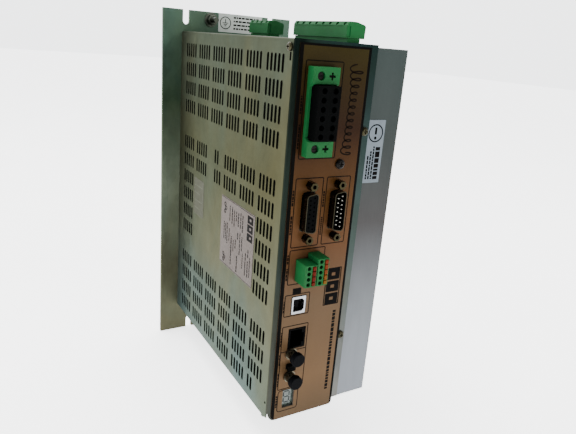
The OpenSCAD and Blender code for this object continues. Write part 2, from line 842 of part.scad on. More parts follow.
// pan-head screw standing on z = 0, its shank below it
module pan_screw(head_r, head_h, shank_r, shank_l) {
  difference() {
    union() {
      cylinder(r = head_r, h = head_h * 0.55);
      translate([0, 0, head_h * 0.55 - 0.001]) cylinder(r1 = head_r, r2 = head_r * 0.62, h = head_h * 0.45);
      translate([0, 0, -shank_l]) cylinder(r = shank_r, h = shank_l + 0.01);
    }
    for (a = [0, 90]) translate([0, 0, head_h]) rotate(a) cube([head_r * 1.1, 0.7, head_h], center = true);
  }
}

module panel_screw() {
  color("black") on_front(black_screw_x, black_screw_z) pan_screw(3, 1.9, 1.45, 6);
}

module case_screws() {
  color("darkkhaki") {
    for (z = strip_screw_z) on_front(strip_screw_x, z, y_strip) pan_screw(2.75, 2, 1.45, 6);
    on_side(cover_screw_y, cover_screw_z, x_left) pan_screw(2.4, 1.8, 1, 2.6);
  }
}

module earth_stud() {
  color("silver") on_front(earth_x, earth_z, 0) {
    cylinder(r = collar_r, h = plate_t + nut_h + 0.2);
    translate([0, 0, plate_t + nut_h + 0.19]) cylinder(r = stud_r, h = stud_free + 0.01);
  }
}

module earth_nut() {
  color("silver") on_front(earth_x, earth_z, y_back) difference() {
    union() {
      cylinder(r = 5.6, h = 1);
      translate([0, 0, 1]) cylinder(d = 7 / cos(30), h = nut_h - 1, $fn = 6);
    }
    translate([0, 0, -1]) cylinder(r = collar_r + 0.02, h = 8);
  }
}

// ---- labels ----

sticker_t = 0.2;

module rating_label() {
  color("mistyrose") on_side(0, 0) translate([97.3, -35.6, 0.01]) cube([54.2, 51.1, sticker_t]);
}

module caution_label() {
  color("white") on_front(0, 0, y_sink - 0.01) translate([x_right + 0.2, 42, 0]) cube([13.6, 40, sticker_t]);
}

module earth_label() {
  color("white") on_front(0, 0, y_back - 0.01) translate([-10.4, z_top + 1.9, 0]) cube([39.8, 14.5, sticker_t]);
}

mounting_plate();
heatsink();
side_cover();
top_cover();
bottom_cover();
front_panel();
front_bracket();
front_label();
control_board();
interface_board();
power_board();
board_standoffs();
bus_capacitors();
power_module();
transformer();
motor_header();
supply_header();
power_pins();
aux_header();
aux_screws();
feedback_shell();
feedback_insulator();
interface_shell();
interface_insulator();
interface_pins();
jackscrews();
signal_header_a();
signal_header_b();
signal_pins();
usb_shell();
usb_tongue();
network_jack();
network_contacts();
fibre_port_a();
fibre_port_b();
segment_display();
panel_screw();
case_screws();
plate_screws();
earth_stud();
earth_nut();
rating_label();
caution_label();
earth_label();
motor_plug();
supply_plug();
aux_plug();
signal_plug_a();
signal_plug_b();
dust_cap_a();
dust_cap_b();
lever(plug_a_x, 0, plug_a_ways);  // lever_a1
lever(plug_a_x, 1, plug_a_ways);  // lever_a2
lever(plug_a_x, 2, plug_a_ways);  // lever_a3
lever(plug_a_x, 3, plug_a_ways);  // lever_a4
lever(plug_b_x, 0, plug_b_ways);  // lever_b1
lever(plug_b_x, 1, plug_b_ways);  // lever_b2
lever(plug_b_x, 2, plug_b_ways);  // lever_b3
lever(plug_b_x, 3, plug_b_ways);  // lever_b4
lever(plug_b_x, 4, plug_b_ways);  // lever_b5
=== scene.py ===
"""Looks of the servo drive: finishes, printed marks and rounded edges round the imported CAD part."""

import json
import math

import bmesh
import bpy
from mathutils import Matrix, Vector


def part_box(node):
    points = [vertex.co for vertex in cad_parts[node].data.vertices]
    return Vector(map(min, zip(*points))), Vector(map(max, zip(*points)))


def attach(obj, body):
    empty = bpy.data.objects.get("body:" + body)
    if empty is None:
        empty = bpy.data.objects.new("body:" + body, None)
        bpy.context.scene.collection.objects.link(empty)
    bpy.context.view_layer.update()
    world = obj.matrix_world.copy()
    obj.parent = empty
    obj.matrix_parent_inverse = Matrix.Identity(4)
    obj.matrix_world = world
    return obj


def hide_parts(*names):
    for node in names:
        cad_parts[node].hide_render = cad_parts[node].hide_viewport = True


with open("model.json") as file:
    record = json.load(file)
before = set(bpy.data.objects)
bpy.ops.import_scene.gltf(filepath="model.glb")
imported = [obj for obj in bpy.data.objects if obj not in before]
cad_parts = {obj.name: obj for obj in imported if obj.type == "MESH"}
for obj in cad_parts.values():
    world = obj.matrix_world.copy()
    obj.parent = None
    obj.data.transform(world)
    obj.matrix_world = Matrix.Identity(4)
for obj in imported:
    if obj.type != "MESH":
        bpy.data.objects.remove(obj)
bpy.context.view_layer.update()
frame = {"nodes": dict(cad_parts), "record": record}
nodes = frame["nodes"]

MM = 0.001
X_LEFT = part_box("side_cover")[0].x / MM
Y_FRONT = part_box("front_label")[0].y / MM

# ---------------------------------------------------------------- materials

EXPOSURE = 0.55


def srgb(r, g, b):
    """A colour given as 0-255 display values, in linear values lowered for the strong studio light."""
    def lin(c):
        c /= 255
        return EXPOSURE * (c / 12.92 if c <= 0.04045 else ((c + 0.055) / 1.055) ** 2.4)
    return (lin(r), lin(g), lin(b), 1.0)


class Tree:
    """Builds one node material step by step."""

    def __init__(self, name):
        self.mat = bpy.data.materials.new(name)
        self.mat.use_nodes = True
        self.nt = self.mat.node_tree
        self.bsdf = self.nt.nodes["Principled BSDF"]
        self.coord = self.nt.nodes.new("ShaderNodeTexCoord").outputs["Object"]

    def node(self, kind, **settings):
        n = self.nt.nodes.new(kind)
        for k, v in settings.items():
            setattr(n, k, v)
        return n

    def link(self, a, b):
        self.nt.links.new(a, b)

    def noise(self, scale, detail=3.0, stretch=(1, 1, 1), rough=0.55, distortion=0.0):
        m = self.node("ShaderNodeMapping")
        m.inputs["Scale"].default_value = stretch
        self.link(self.coord, m.inputs["Vector"])
        n = self.node("ShaderNodeTexNoise")
        n.inputs["Scale"].default_value = scale
        n.inputs["Detail"].default_value = detail
        n.inputs["Roughness"].default_value = rough
        n.inputs["Distortion"].default_value = distortion
        self.link(m.outputs["Vector"], n.inputs["Vector"])
        return n.outputs["Fac"]

    def cells(self, scale, stretch=(1, 1, 1)):
        m = self.node("ShaderNodeMapping")
        m.inputs["Scale"].default_value = stretch
        self.link(self.coord, m.inputs["Vector"])
        v = self.node("ShaderNodeTexVoronoi")
        v.inputs["Scale"].default_value = scale
        self.link(m.outputs["Vector"], v.inputs["Vector"])
        s = self.node("ShaderNodeSeparateColor")
        self.link(v.outputs["Color"], s.inputs["Color"])
        return s.outputs["Red"]

    def ramp(self, value, stops):
        """stops: (position, colour) pairs."""
        r = self.node("ShaderNodeValToRGB")
        el = r.color_ramp.elements
        el[0].position, el[0].color = stops[0][0], stops[0][1]
        el[1].position, el[1].color = stops[-1][0], stops[-1][1]
        for p, c in stops[1:-1]:
            e = el.new(p)
            e.color = c
        self.link(value, r.inputs["Fac"])
        return r.outputs["Color"]

    def fit(self, value, a, b, lo=0.3, hi=0.7):
        m = self.node("ShaderNodeMapRange")
        m.inputs["From Min"].default_value = lo
        m.inputs["From Max"].default_value = hi
        m.inputs["To Min"].default_value = a
        m.inputs["To Max"].default_value = b
        self.link(value, m.inputs["Value"])
        return m.outputs["Result"]

    def height(self, z0, z1):
        """0 at z0 and 1 at z1, in mm."""
        s = self.node("ShaderNodeSeparateXYZ")
        self.link(self.coord, s.inputs["Vector"])
        return self.fit(s.outputs["Z"], 0, 1, z0 * MM, z1 * MM)

    def across(self, x0, x1):
        """0 at x0 and 1 at x1, in mm."""
        s = self.node("ShaderNodeSeparateXYZ")
        self.link(self.coord, s.inputs["Vector"])
        return self.fit(s.outputs["X"], 0, 1, x0 * MM, x1 * MM)

    def mix(self, a, b, fac, blend="MIX"):
        m = self.node("ShaderNodeMix", data_type="RGBA", blend_type=blend)
        for sock, v in ((m.inputs[6], a), (m.inputs[7], b)):
            if isinstance(v, tuple):
                sock.default_value = v
            else:
                self.link(v, sock)
        if isinstance(fac, float):
            m.inputs[0].default_value = fac
        else:
            self.link(fac, m.inputs[0])
        return m.outputs[2]

    def math(self, op, a, b):
        m = self.node("ShaderNodeMath", operation=op)
        for sock, v in zip(m.inputs, (a, b)):
            if isinstance(v, (int, float)):
                sock.default_value = v
            else:
                self.link(v, sock)
        return m.outputs[0]

    def colour(self, out):
        self.link(out, self.bsdf.inputs["Base Color"])

    def roughness(self, out):
        self.link(out, self.bsdf.inputs["Roughness"])

    def bump(self, heights, strength, distance):
        """heights: outputs added up."""
        total = heights[0]
        for h in heights[1:]:
            total = self.math("ADD", total, h)
        b = self.node("ShaderNodeBump")
        b.inputs["Strength"].default_value = strength
        b.inputs["Distance"].default_value = distance
        self.link(total, b.inputs["Height"])
        self.link(b.outputs["Normal"], self.bsdf.inputs["Normal"])

    def set(self, **values):
        for k, v in values.items():
            self.bsdf.inputs[k.replace("_", " ")].default_value = v


def darker(c, k):
    return (c[0] * k, c[1] * k, c[2] * k, 1.0)


def sheet_metal(name, tint_and_painted_light, low, high, rough=(0.34, 0.52), grain=(1, 1, 12), painted_shade_edge=None):
    """Rolled sheet: colours up its height, mostly painted light and shade, faint cells of the zinc, smudges and a
    fine roll grain.
    Last argument, painted shade on one side: (x of the shaded side, x of the unshaded side, how dark)."""
    t = Tree(name)
    n = len(tint_and_painted_light) - 1
    # painted light and shade: the colours up the height stand for how the light falls on the sheet
    base = t.ramp(t.height(low, high), [(i / n, c) for i, c in enumerate(tint_and_painted_light)])
    # painted shade: the sheet darker towards one side
    if painted_shade_edge:
        k = painted_shade_edge[2]
        shadow = t.mix((k, k * 1.15, k * 1.15, 1), (1, 1, 1, 1), t.across(*painted_shade_edge[:2]))
        base = t.mix(base, shadow, 1.0, "MULTIPLY")
    stain = t.mix((1.12, 0.97, 0.8, 1), (0.88, 1.02, 1.14, 1), t.fit(t.noise(13, 4, (1, 1, 0.45), 0.6, 0.8), 0, 1))
    base = t.mix(base, stain, 1.0, "MULTIPLY")
    cells = t.fit(t.cells(190, (1, 1, 0.6)), 0.93, 1.06, 0, 1)
    cloud = t.fit(t.noise(22, 6, (1, 1, 0.7), 0.7), 0.8, 1.18)
    smudge = t.noise(42, 6, (1, 1, 0.5), 0.65, 0.6)
    roll = t.noise(700, 2, grain)
    shade = t.math("MULTIPLY", t.math("MULTIPLY", cells, cloud), t.fit(roll, 0.95, 1.05))
    t.colour(t.mix(base, shade, 1.0, "MULTIPLY"))
    t.roughness(t.math("ADD", t.fit(smudge, *rough), t.fit(cells, -0.03, 0.03, 0.93, 1.06)))
    t.bump([t.math("MULTIPLY", roll, 0.5), t.math("MULTIPLY", smudge, 1.5)], 0.12, 0.0004)
    t.set(Metallic=0.75, Anisotropic=0.3, Specular_IOR_Level=0.06, Specular_Tint=(0.5, 0.5, 0.45, 1))
    return t.mat


def moulded(name, colour, rough, spread=0.12, bump=0.25, shine=0.35):
    """Moulded plastic: fine spark-eroded grain, slow flow marks, a little grime."""
    t = Tree(name)
    flow = t.noise(60, 4, (1, 1, 1), 0.6, 0.8)
    fine = t.noise(900, 3)
    grime = t.noise(25, 6, (1, 1, 1), 0.7)
    base = t.mix(darker(colour, 1 - spread), darker(colour, 1 + spread), t.fit(flow, 0, 1))
    t.colour(t.mix(base, darker(colour, 0.55), t.fit(grime, 0, 0.3, 0.55, 0.8)))
    t.roughness(t.fit(grime, *rough))
    t.bump([fine, t.math("MULTIPLY", flow, 1.2)], bump, 0.00008)
    t.set(Specular_IOR_Level=shine)
    return t.mat


def bright_metal(name, colour, rough=(0.16, 0.34), metallic=1.0):
    """Plated or turned metal: tarnish clouds, fine scratches and worn patches."""
    t = Tree(name)
    cloud = t.noise(220, 5)
    lines = t.noise(1500, 2)
    wear = t.noise(500, 6, (1, 1, 1), 0.75)
    base = t.mix(darker(colour, 0.72), darker(colour, 1.12), t.fit(cloud, 0, 1))
    t.colour(t.mix(base, darker(colour, 0.45), t.fit(wear, 0, 0.4, 0.58, 0.8)))
    t.roughness(t.fit(wear, *rough))
    t.bump([lines, cloud], 0.15, 0.00006)
    t.set(Metallic=metallic)
    return t.mat


def printed(name, colour, rough=(0.3, 0.45), shine=0.12, upper=None):
    """Printed film: faint mottling and dust. upper: another colour for what lies above z = 110 mm."""
    t = Tree(name)
    mottle = t.noise(350, 4)
    dust = t.noise(60, 6, (1, 1, 1), 0.7)
    base = t.mix(darker(colour, 0.93), darker(colour, 1.05), t.fit(mottle, 0, 1))
    if upper:
        base = t.mix(base, upper, t.height(100, 110))
    t.colour(t.mix(base, darker(colour, 0.75), t.fit(dust, 0, 0.5, 0.55, 0.8)))
    t.roughness(t.fit(dust, *rough))
    t.bump([mottle], 0.06, 0.00004)
    t.set(Specular_IOR_Level=shine)
    return t.mat


def copper_label():
    t = Tree("copper_label")
    # painted light and shade: lighter towards the bottom and near black towards the top, as the gloss of the label
    # takes the light
    base = t.ramp(t.height(-118, 126), [
        (0.0, srgb(88, 69, 47)), (0.12, srgb(106, 81, 55)), (0.35, srgb(93, 73, 52)), (0.5, srgb(92, 61, 36)),
        (0.62, srgb(80, 52, 23)), (0.8, srgb(39, 20, 5)), (1.0, srgb(45, 38, 9))])
    brushed = t.noise(420, 3, (1, 1, 14))
    cloud = t.noise(14, 4, (1, 1, 0.6), 0.6, 0.4)
    dust = t.noise(90, 6, (1, 1, 1), 0.7)
    shade = t.math("MULTIPLY", t.fit(brushed, 0.95, 1.05), t.fit(cloud, 0.9, 1.08))
    t.colour(t.mix(base, shade, 1.0, "MULTIPLY"))
    t.roughness(t.fit(dust, 0.3, 0.46))
    t.bump([brushed, dust], 0.05, 0.0001)
    t.set(Metallic=0.2, Specular_IOR_Level=0.05)
    return t.mat


def circuit_board():
    t = Tree("board")
    weave = t.noise(1400, 2, (1, 3, 1))
    tracks = t.node("ShaderNodeTexWave", wave_type="BANDS", bands_direction="DIAGONAL")
    tracks.inputs["Scale"].default_value = 120
    tracks.inputs["Distortion"].default_value = 6
    tracks.inputs["Detail"].default_value = 1
    t.link(t.coord, tracks.inputs["Vector"])
    # partly painted shade: the board's green is darkened towards black so the cover's slots read dark
    green = t.mix(srgb(3, 11, 7), srgb(6, 18, 10), t.fit(tracks.outputs["Fac"], 0, 1, 0.45, 0.55))
    t.colour(t.mix(green, srgb(2, 7, 5), t.fit(weave, 0, 0.5)))
    t.roughness(t.fit(weave, 0.5, 0.65))
    t.bump([tracks.outputs["Fac"], weave], 0.15, 0.00006)
    t.set(Specular_IOR_Level=0.05)
    return t.mat


def fin_metal():
    t = Tree("heatsink_aluminium")
    # painted light: pale towards the bottom and dark grey towards the top
    base = t.ramp(t.height(-118, 124), [
        (0.0, srgb(145, 150, 157)), (0.3, srgb(125, 129, 133)), (0.55, srgb(76, 75, 75)),
        (0.75, srgb(63, 68, 67)), (1.0, srgb(63, 72, 70))])
    die = t.noise(900, 3, (1, 1, 0.04))
    cloud = t.noise(18, 5, (1, 1, 0.5))
    scuff = t.noise(80, 7, (1, 1, 0.3), 0.75, 0.5)
    shade = t.math("MULTIPLY", t.fit(die, 0.98, 1.02), t.fit(cloud, 0.94, 1.05))
    t.colour(t.mix(base, shade, 1.0, "MULTIPLY"))
    t.roughness(t.fit(scuff, 0.5, 0.66))
    t.bump([t.math("MULTIPLY", die, 0.4), scuff], 0.08, 0.0001)
    t.set(Metallic=0.5, Anisotropic=0.2, Specular_IOR_Level=0.08, Specular_Tint=(0.6, 0.6, 0.6, 1))
    return t.mat


def lens():
    t = Tree("display_lens")
    haze = t.noise(240, 5)
    t.colour(t.mix(srgb(54, 68, 62), srgb(70, 84, 78), t.fit(haze, 0, 1)))
    t.roughness(t.fit(haze, 0.18, 0.3))
    t.bump([t.noise(1200, 2)], 0.04, 0.00004)
    t.set(Coat_Weight=0.15, Coat_Roughness=0.15)
    return t.mat


def shell_metal():
    """Plated connector shells: dull on the two large ones and the low ports, bright on the one between; the dull
    colours are painted reflection and shade on one plating.
    """
    t = Tree("shell_metal")
    cloud = t.noise(260, 5)
    wear = t.noise(500, 6, (1, 1, 1), 0.75)
    # painted reflection and shade: brownish on the low ports for the label they reflect, dark on the two large
    # shells for the dark surroundings they reflect
    base = t.ramp(t.height(-118, 126), [
        (0.0, srgb(104, 100, 86)), (0.22, srgb(104, 100, 86)), (0.25, srgb(176, 178, 182)),
        (0.43, srgb(176, 178, 182)), (0.45, srgb(52, 49, 38))])
    t.colour(t.mix(base, srgb(30, 28, 22), t.fit(wear, 0, 0.5, 0.55, 0.8)))
    t.roughness(t.fit(cloud, 0.2, 0.38))
    t.bump([cloud, t.noise(1500, 2)], 0.12, 0.00006)
    t.set(Metallic=1.0)
    return t.mat


def lever_plastic():
    """Release levers, redder on the left plug and towards amber at the right plug's lower end."""
    t = Tree("orange_plastic")
    grain = t.noise(900, 3)
    grime = t.noise(70, 6)
    tone = t.ramp(t.height(-17, 1), [(0, srgb(112, 80, 14)), (0.5, srgb(110, 50, 12)), (1, srgb(108, 30, 10))])
    base = t.mix(srgb(92, 16, 3), tone, t.across(-21, -19))
    t.colour(t.mix(base, srgb(90, 30, 8), t.fit(grime, 0, 0.35, 0.5, 0.8)))
    t.roughness(t.fit(grime, 0.35, 0.5))
    t.bump([grain], 0.2, 0.00006)
    t.set(Specular_IOR_Level=0.04)
    return t.mat


SLOTS = {
    # plate: colours up its height partly the chromate's own tint, partly painted light and shade with a dark painted
    # band in its upper part
    "plate_zinc": sheet_metal(
        "plate_zinc", [srgb(94, 92, 71), srgb(96, 96, 76), srgb(124, 132, 112), srgb(60, 79, 64), srgb(84, 110, 97)],
        -142, 142),
    "heatsink_aluminium": fin_metal(),
    # side cover: painted light, lighter and bluer towards the bottom
    "zinc_sheet": sheet_metal(
        "zinc_sheet",
        [srgb(95, 112, 109), srgb(88, 92, 78), srgb(74, 77, 60), srgb(76, 84, 73)], -118, 126),
    # front panel: painted light, light towards the bottom and dark towards the top, with painted shade on its left
    # strip
    "front_zinc": sheet_metal(
        "front_zinc", [srgb(116, 118, 118), srgb(58, 68, 64), srgb(26, 42, 40)], -118, 126, grain=(12, 1, 1),
        painted_shade_edge=(-36, -32, 0.3)),
    "copper_label": copper_label(),
    "board": circuit_board(),
    "plated_steel": bright_metal("plated_steel", srgb(92, 98, 88), (0.2, 0.5)),
    "capacitor_sleeve": moulded("capacitor_sleeve", srgb(10, 12, 22), (0.4, 0.55), shine=0.08),
    "black_plastic": moulded("black_plastic", srgb(3, 4, 4), (0.55, 0.7), shine=0.015),
    "winding_tape": moulded("winding_tape", srgb(90, 76, 28), (0.4, 0.6), shine=0.1),
    "green_plastic": moulded("green_plastic", srgb(26, 92, 47), (0.4, 0.55), 0.1, shine=0.05),
    "tinned_contact": bright_metal("tinned_contact", srgb(180, 178, 168)),
    "dark_screw": bright_metal("dark_screw", srgb(15, 14, 12), (0.3, 0.5), 0.9),
    "shell_metal": shell_metal(),
    "jackscrew_metal": bright_metal("jackscrew_metal", srgb(52, 48, 32), (0.16, 0.32)),
    "insulator_plastic": moulded("insulator_plastic", srgb(4, 4, 7), (0.5, 0.65), shine=0.02),
    "gold_contact": bright_metal("gold_contact", srgb(190, 150, 76)),
    "display_lens": lens(),
    "yellow_zinc": bright_metal("yellow_zinc", srgb(66, 63, 46), (0.24, 0.44)),
    "grey_label": printed("grey_label", srgb(98, 88, 82), shine=0.04),
    "white_label": printed("white_label", srgb(120, 130, 138), shine=0.04, upper=srgb(240, 248, 240)),
    "cap_rubber": moulded("cap_rubber", srgb(4, 5, 8), (0.45, 0.6), 0.15, 0.3, shine=0.02),
    "orange_plastic": lever_plastic(),
}
# painted shade for the walls of the punched slots in the cover
SLOT_WALL_SHADE = moulded("slot_wall_shade", srgb(14, 16, 13), (0.6, 0.75), shine=0.02)
INK = printed("print_black", srgb(5, 4, 3), (0.5, 0.65), 0.02)
INK_BROWN = printed("print_brown", srgb(16, 9, 3), (0.5, 0.65), 0.02)
INK_GREY = printed("print_grey", srgb(19, 17, 15), (0.5, 0.65), 0.03)
FILM_INK = printed("film_print", srgb(104, 108, 92), (0.5, 0.65), 0.04)
PALE_FILM = printed("pale_film", srgb(74, 75, 60), (0.4, 0.55), 0.04)
SEGMENT = printed("segment_grey", srgb(30, 38, 38), (0.4, 0.55), 0.05)

for part in frame["record"]["subparts"]:
    data = nodes[part["node"]].data
    data.materials.clear()
    data.materials.append(SLOTS[part["material_slot"]])
slot_of = {p["node"]: p["material_slot"] for p in frame["record"]["subparts"]}
body_of = {n: b for b, members in frame["record"]["behaviour"]["bodies"].items() for n in members}

# ---------------------------------------------------------------- rounded edges


def soften(node, width, angle=34, segments=2):
    """Shows a CAD node as the same shape with rounded edges, width in mm."""
    bm = bmesh.new()
    bm.from_mesh(nodes[node].data)
    bmesh.ops.remove_doubles(bm, verts=bm.verts, dist=2e-6)
    bmesh.ops.dissolve_limit(
        bm, angle_limit=math.radians(0.6), verts=bm.verts, edges=bm.edges, delimit={"NORMAL"})
    sharp = [e for e in bm.edges if len(e.link_faces) == 2 and e.calc_face_angle(0) > math.radians(angle)]
    if node == "side_cover":
        sharp = [e for e in sharp if max(v.co.x for v in e.verts) < (X_LEFT + 0.02) * MM]
    bmesh.ops.bevel(
        bm, geom=sharp, offset=width * MM, offset_type="OFFSET", segments=segments, profile=0.5,
        affect="EDGES", clamp_overlap=True)
    mesh = bpy.data.meshes.new(node + "_rounded")
    bm.to_mesh(mesh)
    bm.free()
    ob = bpy.data.objects.new(node + "_rounded", mesh)
    bpy.context.scene.collection.objects.link(ob)
    mesh.materials.append(SLOTS[slot_of[node]])
    if node == "side_cover":
        # painted shade: the walls of the punched slots are near black to stand for the shade inside the slots
        mesh.materials.append(SLOT_WALL_SHADE)
        for face in mesh.polygons:
            depth = face.center.x / MM - X_LEFT
            if 0.2 < depth < 0.8 and abs(face.normal.x) < 0.3 and face.area < 20 * MM * MM:
                face.material_index = 1
    mesh.shade_smooth()
    mesh.set_sharp_from_angle(angle=math.radians(50))
    even = ob.modifiers.new("even", "WEIGHTED_NORMAL")
    even.keep_sharp = True
    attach(ob, body_of[node])
    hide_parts(node)


ROUNDED = {
    "motor_plug": 0.3, "supply_plug": 0.3, "aux_plug": 0.25, "signal_plug_a": 0.22, "signal_plug_b": 0.22,
    "aux_header": 0.25, "motor_header": 0.25, "supply_header": 0.25,
    "network_jack": 0.2, "usb_shell": 0.15, "dust_cap_a": 0.35, "dust_cap_b": 0.35,
    "heatsink": 0.3, "jackscrews": 0.2, "panel_screw": 0.15, "case_screws": 0.12, "aux_screws": 0.1,
    "earth_nut": 0.2, "front_bracket": 0.2,
}
ROUNDED.update((name, 0.2) for name in nodes if name.startswith("lever_"))
for name, width in ROUNDED.items():
    soften(name, width)
soften("side_cover", 0.15, segments=1)

# ---------------------------------------------------------------- printed marks

FRONT = (Vector((0, Y_FRONT, 0)), Vector((1, 0, 0)), Vector((0, 0, 1)), Vector((0, -1, 0)))
SIDE = (Vector((X_LEFT, 0, 0)), Vector((0, -1, 0)), Vector((0, 0, 1)), Vector((-1, 0, 0)))


def facing_front(node):
    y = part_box(node)[0].y / MM
    return (Vector((0, y, 0)), Vector((1, 0, 0)), Vector((0, 0, 1)), Vector((0, -1, 0)))


def facing_left(node):
    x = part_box(node)[0].x / MM
    return (Vector((x, 0, 0)), Vector((0, -1, 0)), Vector((0, 0, 1)), Vector((-1, 0, 0)))


def round_rect(u0, v0, u1, v1, r, n=5):
    pts = []
    for cu, cv, a0 in ((u1 - r, v1 - r, 0), (u0 + r, v1 - r, 90), (u0 + r, v0 + r, 180), (u1 - r, v0 + r, 270)):
        for i in range(n + 1):
            a = math.radians(a0 + 90 * i / n)
            pts.append((cu + r * math.cos(a), cv + r * math.sin(a)))
    return pts


def circle(cu, cv, r, n=28):
    return [(cu + r * math.cos(2 * math.pi * i / n), cv + r * math.sin(2 * math.pi * i / n)) for i in range(n)]


class Print:
    """Thin raised marks on a flat face, gathered in one mesh."""

    def __init__(self, name, plane, material, height=0.03):
        self.bm = bmesh.new()
        self.name, self.plane, self.material, self.height = name, plane, material, height

    def at(self, u, v, w):
        o, a, b, c = self.plane
        return (o + a * u + b * v + c * w) * MM

    def solid(self, loop):
        lower = [self.bm.verts.new(self.at(u, v, 0)) for u, v in loop]
        upper = [self.bm.verts.new(self.at(u, v, self.height)) for u, v in loop]
        n = len(loop)
        self.bm.faces.new(upper)
        self.bm.faces.new(lower[::-1])
        for i in range(n):
            j = (i + 1) % n
            self.bm.faces.new((lower[i], lower[j], upper[j], upper[i]))

    def ring(self, outer, inner):
        rows = [[self.bm.verts.new(self.at(u, v, w)) for u, v in loop]
                for loop, w in ((outer, 0), (outer, self.height), (inner, self.height), (inner, 0))]
        n = len(outer)
        for a, b in ((0, 1), (1, 2), (2, 3), (3, 0)):
            for i in range(n):
                j = (i + 1) % n
                self.bm.faces.new((rows[a][i], rows[a][j], rows[b][j], rows[b][i]))

    def bar(self, u0, v0, u1, v1, r=0.0):
        self.solid(round_rect(u0, v0, u1, v1, r) if r else [(u0, v0), (u1, v0), (u1, v1), (u0, v1)])

    def frame(self, u0, v0, u1, v1, r, w):
        self.ring(round_rect(u0, v0, u1, v1, r), round_rect(u0 + w, v0 + w, u1 - w, v1 - w, max(r - w, 0.05)))

    def line(self, points, w):
        """A stroke of width w through the points."""
        left, right = [], []
        for i, p in enumerate(points):
            a, b = points[max(i - 1, 0)], points[min(i + 1, len(points) - 1)]
            d = Vector((b[0] - a[0], b[1] - a[1])).normalized()
            left.append((p[0] - d.y * w / 2, p[1] + d.x * w / 2))
            right.append((p[0] + d.y * w / 2, p[1] - d.x * w / 2))
        for i in range(len(points) - 1):
            self.solid([left[i], right[i], right[i + 1], left[i + 1]])

    def done(self):
        bmesh.ops.recalc_face_normals(self.bm, faces=self.bm.faces)
        mesh = bpy.data.meshes.new(self.name)
        self.bm.to_mesh(mesh)
        self.bm.free()
        mesh.materials.append(self.material)
        ob = bpy.data.objects.new(self.name, mesh)
        bpy.context.scene.collection.objects.link(ob)
        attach(ob, "drive")


def dashes(p, u, v0, v1, w, h, gap, across=False, seed=3):
    """A line of short marks of uneven length, standing for a line of print."""
    v, k = v0, seed
    while v < v1 - 0.3:
        k = (k * 7 + 5) % 11
        step = min(h * (0.6 + k / 9), v1 - v)
        if across:
            p.bar(v, u, v + step, u + w)
        else:
            p.bar(u, v, u + w, v + step)
        v += step + gap


# black border of the front label
border = Print("label_border", FRONT, INK)
lo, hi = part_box("front_label")
L0, L1, B0, B1 = lo.x / MM, hi.x / MM, lo.z / MM, hi.z / MM
r, q = 4.0, 2.6
left_corner = [(L0 + r - r * math.cos(a), B0 + r - r * math.sin(a)) for a in (0, 0.3, 0.6, 0.85)]
border.solid(left_corner + [(L0 + 2.5, left_corner[-1][1] - 0.6), (L0 + 2.5, B1), (L0, B1)])
right_corner = [(L1 - q + q * math.cos(a), B0 + q - q * math.sin(a)) for a in (1.2, 0.8, 0.4, 0)]
border.solid(right_corner + [(L1, B1), (L1 - 1.8, B1)])
border.bar(L0 + 2.5, B1 - 1.2, L1 - 1.8, B1)
border.done()

# outlines round the connectors
outlines = Print("label_outlines", FRONT, INK)
W = 0.6
for box in (
    (-34.4, 59.9, -8.8, 115.5, 1.2), (-34.6, 5.2, -14.9, 48.8, 1.2), (-12.8, 5.2, 4.8, 48.8, 1.2),
    (-34.7, -19.4, -8.7, 4.0, 1.2), (-35.4, -41.3, -16.9, -26.0, 1.0), (-35.4, -95.0, -15.9, -48.0, 1.0),
    (-34.8, -112.3, -18.9, -95.5, 2.2),
):
    outlines.frame(*box, W)
outlines.bar(-35.4 + W, -66.9, -15.9 - W, -66.9 + W)
outlines.bar(-30.0, -26.0, -23.9, -22.1)
outlines.done()

# generic marks in place of print
marks = Print("label_marks", FRONT, INK)
for v0, v1 in ((66, 80), (86, 96), (14, 26), (32, 42), (-16, -8), (-5, 1), (-38, -30), (-62, -52), (-76, -68),
               (-92, -82), (-108, -99)):
    dashes(marks, -36.0 if v0 < 60 else -35.8, v0, v1, 1.1, 1.3, 0.4, seed=abs(v0))
for v0, v1 in ((12, 24), (30, 40)):
    dashes(marks, -14.4, v0, v1, 1.1, 1.3, 0.4, seed=v0)
dashes(marks, 2.5, -104, -43, 2.3, 1.7, 0.55, seed=9)
marks.frame(-6.2, -38.2, 5.8, -11.9, 0.4, 0.7)
for cv in (-16.4, -25.05, -33.7):
    block = round_rect(-5.1, cv - 3.8, 4.7, cv + 3.8, 0.5)
    hole = []
    for u, v in block:
        a = math.atan2(v - cv, u + 0.2)
        hole.append((-0.2 + 1.7 * math.cos(a), cv + 1.7 * math.sin(a)))
    marks.ring(block, hole)
marks.done()

# a plain looping flourish along the top right of the label, wider at both ends
FLOURISH_STEPS, FLOURISH_TURNS = 240, 13
flourish = Print("label_flourish", FRONT, INK_BROWN)
loops = []
for i in range(FLOURISH_STEPS + 1):
    t = i / FLOURISH_STEPS
    swing = 2.5 + 2.6 * max(0.0, (t - 0.72) / 0.28) + 1.6 * max(0.0, (0.2 - t) / 0.2)
    turn = t * FLOURISH_TURNS * 2 * math.pi
    loops.append((-1.6 + 2.2 * t + swing * math.sin(turn), 61.5 + 51.5 * t + 1.5 * math.cos(turn)))
flourish.line(loops, 0.85)
flourish.done()

